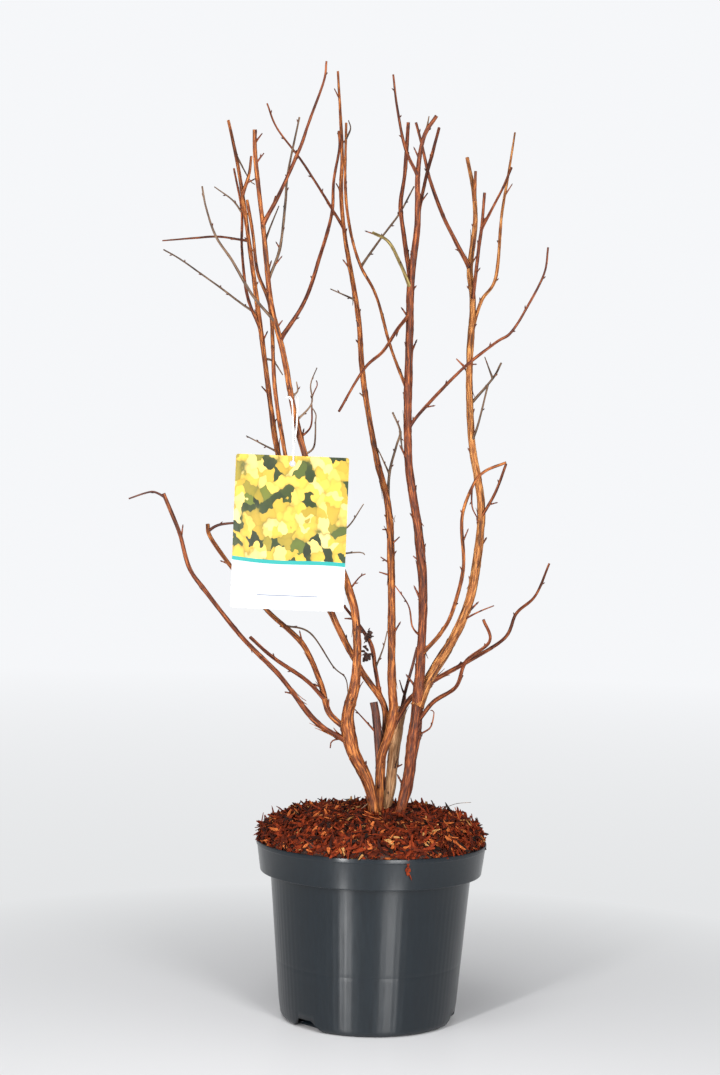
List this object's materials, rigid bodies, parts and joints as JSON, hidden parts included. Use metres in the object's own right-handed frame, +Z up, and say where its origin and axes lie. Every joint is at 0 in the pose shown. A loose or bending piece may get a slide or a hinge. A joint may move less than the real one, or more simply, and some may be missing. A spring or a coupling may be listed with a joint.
{
  "type": "potted ninebark shrub",
  "caption": "Bare winter shrub with slim forked stems in a round plastic nursery pot, topped with bark mulch and carrying a hanging picture card.",
  "frame": {"origin": "middle of the pot's flat underside", "axes": "+Z up, -Y towards the side with the picture card, +X to the right seen from that side"},
  "size_m": [0.361, 0.2286, 0.8312],
  "materials": {
    "pot_plastic": "semi-gloss moulded",
    "mulch": "shredded bark",
    "card": "coated print",
    "thread": "spun",
    "bark": "fibrous, peeling"
  },
  "bodies": {
    "root": {"pot": "pot_plastic", "mulch": "mulch", "picture_card": "card", "card_thread": "thread", "left_stem": "bark", "left_rear_stem": "bark", "left_middle_stem": "bark", "left_rear_fork": "bark", "left_outer_shoot": "bark", "left_level_twig": "bark", "left_far_twig": "bark", "left_rising_twig": "bark", "left_top_bough": "bark", "left_inner_twig": "bark", "inward_bough": "bark", "long_left_bough": "bark", "left_tip_twig": "bark", "left_low_bough": "bark", "left_cross_bough": "bark", "left_end_twig": "bark", "centre_stem": "bark", "stump": "bark", "middle_stump": "bark", "middle_shoot": "bark", "dried_shoot": "bark", "middle_side_shoot": "bark", "back_left_twig": "bark", "right_stem": "bark", "top_twig": "bark", "right_stem_inner_bough": "bark", "right_stem_fork": "bark", "split_tip_bough": "bark", "crossing_bough": "bark", "crossing_shoot": "bark", "back_right_twig": "bark", "long_right_twig": "bark", "right_front_bough": "bark", "right_low_twig": "bark", "right_outer_stem": "bark", "right_low_bough": "bark", "right_outer_fork": "bark", "right_inward_bough": "bark", "right_dark_strand": "bark", "right_top_bough": "bark", "right_top_twig": "bark", "right_side_twig": "bark", "right_bent_twig": "bark", "right_slim_twig": "bark"}
  },
  "joints": []
}
